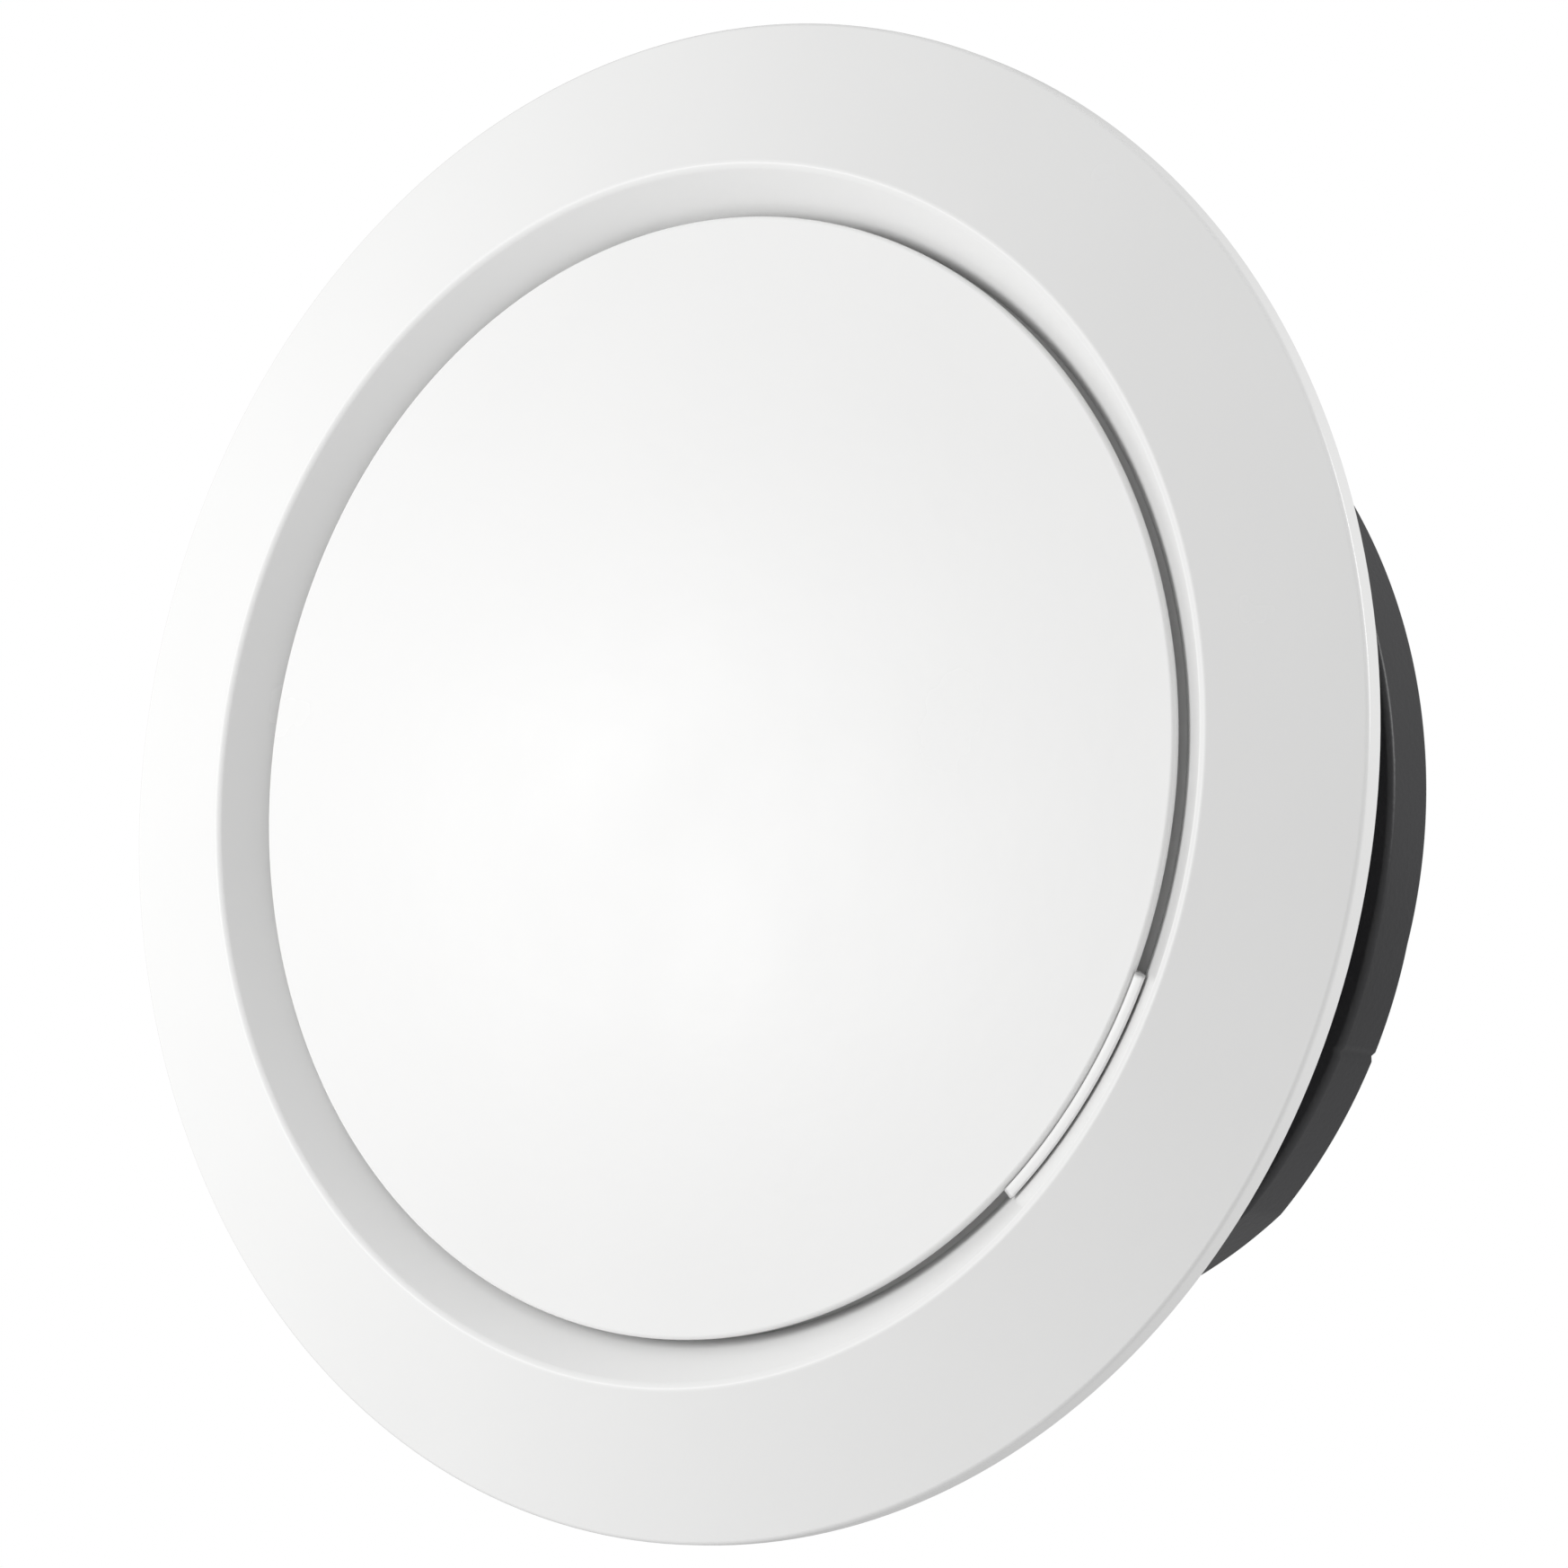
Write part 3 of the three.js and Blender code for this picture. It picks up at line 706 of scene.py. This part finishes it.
print("the thread has", round(turns, 1), "turns")
place(thread, "frame_thread", "sprinkler", "cast_brass", brass, "sprinkler_frame")

# %% [markdown]
# The hexagon is blanked and its corners are broken, as a wrench flat would be. The arms
# are drawn from the side, pushed out to their thickness, and given a large soft edge, so
# that they look cast rather than cut.

# %% Hexagon, arms and boss
HEX_FLATS, ARM_THICKNESS = 24, 3
hexagon = bmesh.new()
hole(hexagon, HEX_FLATS / 2 / math.cos(math.pi / 6) - 0.1, segments=6)
hole(hexagon, 11.0, segments=96)
blank(hexagon, 20.5, 24.4)
soften(hexagon, 0.3, 3, 50)
place(hexagon, "frame_hexagon", "sprinkler", "cast_brass", brass, "sprinkler_frame")

for side, arm_name in ((1, "frame_arm_upper"), (-1, "frame_arm_lower")):
    arm = bmesh.new()
    loop(arm, [
        (2.6, 6.8, 0.2),
        (9.4, 7.2, 3.0),
        (11.2, 13.5, 3.0),
        (11.2, 21.2, 0.2),
        (7.9, 21.2, 0.2),
        (7.9, 12.8, 2.0),
        (5.8, 10.6, 1.5),
        (2.6, 10.4, 0.2),
    ])
    blank(arm, -ARM_THICKNESS / 2, ARM_THICKNESS / 2)
    soften(arm, 0.7, 4, 50)
    for vert in arm.verts:
        across, sideways, depth = vert.co.x, vert.co.y, vert.co.z
        vert.co = Vector((sideways, depth, side * across))
    bmesh.ops.recalc_face_normals(arm, faces=arm.faces)
    place(arm, arm_name, "sprinkler", "cast_brass", brass, "sprinkler_frame")

boss_section = [
    (2.45, 5.00, 0.1),
    (3.60, 5.00, 0.2),
    (3.60, 6.80, 0.3),
    (4.20, 6.80, 0.3),
    (4.20, 10.80, 0.6),
    (2.45, 10.80, 0.2),
]
place(turned(boss_section, 96), "frame_boss", "sprinkler", "cast_brass", brass, "sprinkler_frame")

# %% [markdown]
# ## Load screw
#
# The screw squeezes the bulb against the seat. Its slot is made without a cut: the disc at
# the slot's floor is split by two planes, pushed back to make the shank, and then only its
# two outer parts are raised.

# %% Load screw
SCREW_RADIUS, SCREW_FRONT, SHANK_LENGTH = 2.15, 5.6, 3.0
SLOT_HALF, SLOT_DEPTH, SLOT_TURN = 0.4, 0.8, 45
screw = bmesh.new()
facing = Matrix.Translation((0, SCREW_FRONT + SLOT_DEPTH, 0)) @ Matrix.Rotation(math.pi / 2, 4, "X")
bmesh.ops.create_circle(screw, cap_ends=True, cap_tris=False, segments=48, radius=SCREW_RADIUS,
                        matrix=facing)
for side in (-1, 1):
    bmesh.ops.bisect_plane(screw, geom=screw.verts[:] + screw.edges[:] + screw.faces[:],
                           dist=0.0001, plane_co=(side * SLOT_HALF, 0, 0), plane_no=(1, 0, 0))
pushed = bmesh.ops.extrude_face_region(screw, geom=screw.faces[:])["geom"]
shank = [v for v in pushed if isinstance(v, bmesh.types.BMVert)]
bmesh.ops.translate(screw, verts=shank, vec=(0, SHANK_LENGTH, 0))
bmesh.ops.recalc_face_normals(screw, faces=screw.faces)
cheeks = [f for f in screw.faces
          if f.normal.y < -0.9 and abs(f.calc_center_median().x) > SLOT_HALF]
pushed = bmesh.ops.extrude_face_region(screw, geom=cheeks)["geom"]
raised = [v for v in pushed if isinstance(v, bmesh.types.BMVert)]
bmesh.ops.translate(screw, verts=raised, vec=(0, -SLOT_DEPTH, 0))
bmesh.ops.recalc_face_normals(screw, faces=screw.faces)
soften(screw, 0.1, 2, 50)
turn(screw, SLOT_TURN)
place(screw, "load_screw_turning", "sprinkler", "cast_brass", brass, "load_screw")

# %% [markdown]
# ## Glass bulb
#
# The bulb is a thin glass tube with a drawn-out tip. The liquid inside is a second body a
# little smaller than the glass, and the bubble in it is what lets the liquid swell, until
# there is no bubble left and the glass breaks.

# %% Glass bulb
bulb_section = [
    (0, 9.70, 0),
    (0.55, 9.70, 0.2),
    (0.60, 11.00, 0.4),
    (1.50, 12.70, 0.7),
    (1.50, 25.20, 0.8),
    (0.80, 26.50, 0.3),
    (0, 26.50, 0),
]
liquid_section = [
    (0, 12.60, 0),
    (1.15, 13.00, 0.5),
    (1.15, 24.90, 0.6),
    (0, 25.40, 0),
]
place(turned(bulb_section, 48), "bulb_tube", "sprinkler", "bulb_glass", glass, "glass_bulb")
place(turned(liquid_section, 48), "bulb_liquid", "sprinkler", "bulb_glass", liquid)
BUBBLE_RADIUS, BUBBLE_STRETCH, BUBBLE_DEPTH = 0.85, 1.3, 14.6
air = bmesh.new()
bmesh.ops.create_icosphere(air, subdivisions=3, radius=BUBBLE_RADIUS)
bmesh.ops.scale(air, vec=(1, BUBBLE_STRETCH, 1), verts=air.verts)
bmesh.ops.translate(air, verts=air.verts, vec=(0, BUBBLE_DEPTH, 0))
place(air, "bulb_bubble", "sprinkler", "bulb_glass", bubble)

# %% [markdown]
# ## Cap and seal
#
# A bronze button carries the bulb, and a coated spring washer under it closes the water's
# way until the bulb breaks.

# %% Cap and seal
cap_section = [
    (0, 27.00, 0),
    (1.20, 26.80, 0.2),
    (3.40, 26.80, 0.2),
    (3.40, 27.60, 0.2),
    (2.00, 27.60, 0.1),
    (2.00, 29.00, 0.2),
    (0, 29.00, 0),
]
washer_section = [
    (2.30, 27.90, 0.08),
    (7.00, 28.30, 0.12),
    (7.00, 28.70, 0.12),
    (2.30, 28.30, 0.08),
]
place(turned(cap_section, 96), "pip_cap_turning", "sprinkler", "bronze", bronze, "pip_cap")
place(turned(washer_section, 96), "seal_washer_pressing", "sprinkler", "seal_film", film,
      "seal_washer")

# %% [markdown]
# ## Pin housing and deflector
#
# The deflector hangs on two pins. Until the sprinkler works it stays up behind the cover,
# and then it drops on its pins into the room, where its teeth break the jet into spray.

# %% Guide pin housing
PIN_OFFSET, PIN_RADIUS = 11, 1.2
housing = bmesh.new()
loop(housing, [
    (13.6, -5.5, 5.4),
    (13.6, 5.5, 5.4),
    (-13.6, 5.5, 5.4),
    (-13.6, -5.5, 5.4),
])
hole(housing, 3.9)
for side in (-1, 1):
    hole(housing, PIN_RADIUS + 0.1, side * PIN_OFFSET, 0, 32)
blank(housing, 5.2, 6.5)
soften(housing, 0.15, 2, 50)
place(housing, "guide_pin_housing_plate", "sprinkler", "bronze", bronze, "guide_pin_housing")

# %% [markdown]
# The deflector's outline has a slot at each sixteenth of a turn, except beside the pins.
# The slot's two inner corners are rounded until they meet, and the rim between two slots
# is divided and drawn out to the full radius.

# %% Deflector
DEFLECTOR_RADIUS, SLOT_ROOT, SLOT_COUNT, SLOT_HALF_WIDTH = 14.5, 8.6, 16, 0.6
BESIDE_PIN = 0.3
outline = []
for slot in range(SLOT_COUNT):
    angle = math.radians((slot + 0.5) * 360 / SLOT_COUNT)
    along = Vector((math.cos(angle), math.sin(angle)))
    across = Vector((-math.sin(angle), math.cos(angle))) * SLOT_HALF_WIDTH
    if abs(math.sin(angle)) < BESIDE_PIN:
        outline.append((*(along * DEFLECTOR_RADIUS), 0))
        continue
    rim = math.sqrt(DEFLECTOR_RADIUS ** 2 - SLOT_HALF_WIDTH ** 2)
    slot_corners = ((rim, -1, 0.25), (SLOT_ROOT, -1, 0.55), (SLOT_ROOT, 1, 0.55), (rim, 1, 0.25))
    for depth, side, rounding in slot_corners:
        outline.append((*(along * depth + across * side), rounding))
deflector = bmesh.new()
loop(deflector, outline)
rim_edges = [e for e in deflector.edges
             if all(v.co.length > DEFLECTOR_RADIUS - 0.35 for v in e.verts) and e.calc_length() > 2]
bmesh.ops.subdivide_edges(deflector, edges=rim_edges, cuts=9)
for vert in deflector.verts:
    if vert.co.length > DEFLECTOR_RADIUS - 0.6 and abs(vert.co.length - DEFLECTOR_RADIUS) < 0.4:
        vert.co = vert.co.normalized() * DEFLECTOR_RADIUS
hole(deflector, 3.0)
for side in (-1, 1):
    hole(deflector, PIN_RADIUS + 0.05, side * PIN_OFFSET, 0, 32)
blank(deflector, 3.4, 4.2)
soften(deflector, 0.12, 2, 50)
place(deflector, "deflector_pressing", "deflector", "bronze", bronze, "deflector")

# %% [markdown]
# The two guide pins carry the deflector down. Each has a head in front of the disc, a
# collar behind it, and a second head at its far end, which stops at the housing when the
# drop is over. A pin is a lathe job, so it is drawn on the sprinkler's axis as one turned
# section, and then moved out to its place.

# %% Guide pins
pin_section = [
    (0, 2.50, 0),
    (1.90, 2.50, 0.25),
    (1.90, 3.10, 0.1),
    (1.20, 3.10, 0),
    (1.20, 4.50, 0),
    (1.90, 4.50, 0.1),
    (1.90, 4.90, 0.1),
    (1.20, 4.90, 0),
    (1.20, 18.90, 0),
    (1.90, 18.90, 0.15),
    (1.90, 19.90, 0.2),
    (0, 19.90, 0),
]
for side, pin_name in ((-1, "guide_pin_left"), (1, "guide_pin_right")):
    pin = turned(pin_section, 48)
    bmesh.ops.translate(pin, verts=pin.verts, vec=(side * PIN_OFFSET, 0, 0))
    place(pin, f"{pin_name}_turning", "deflector", "spring_steel", steel, pin_name)
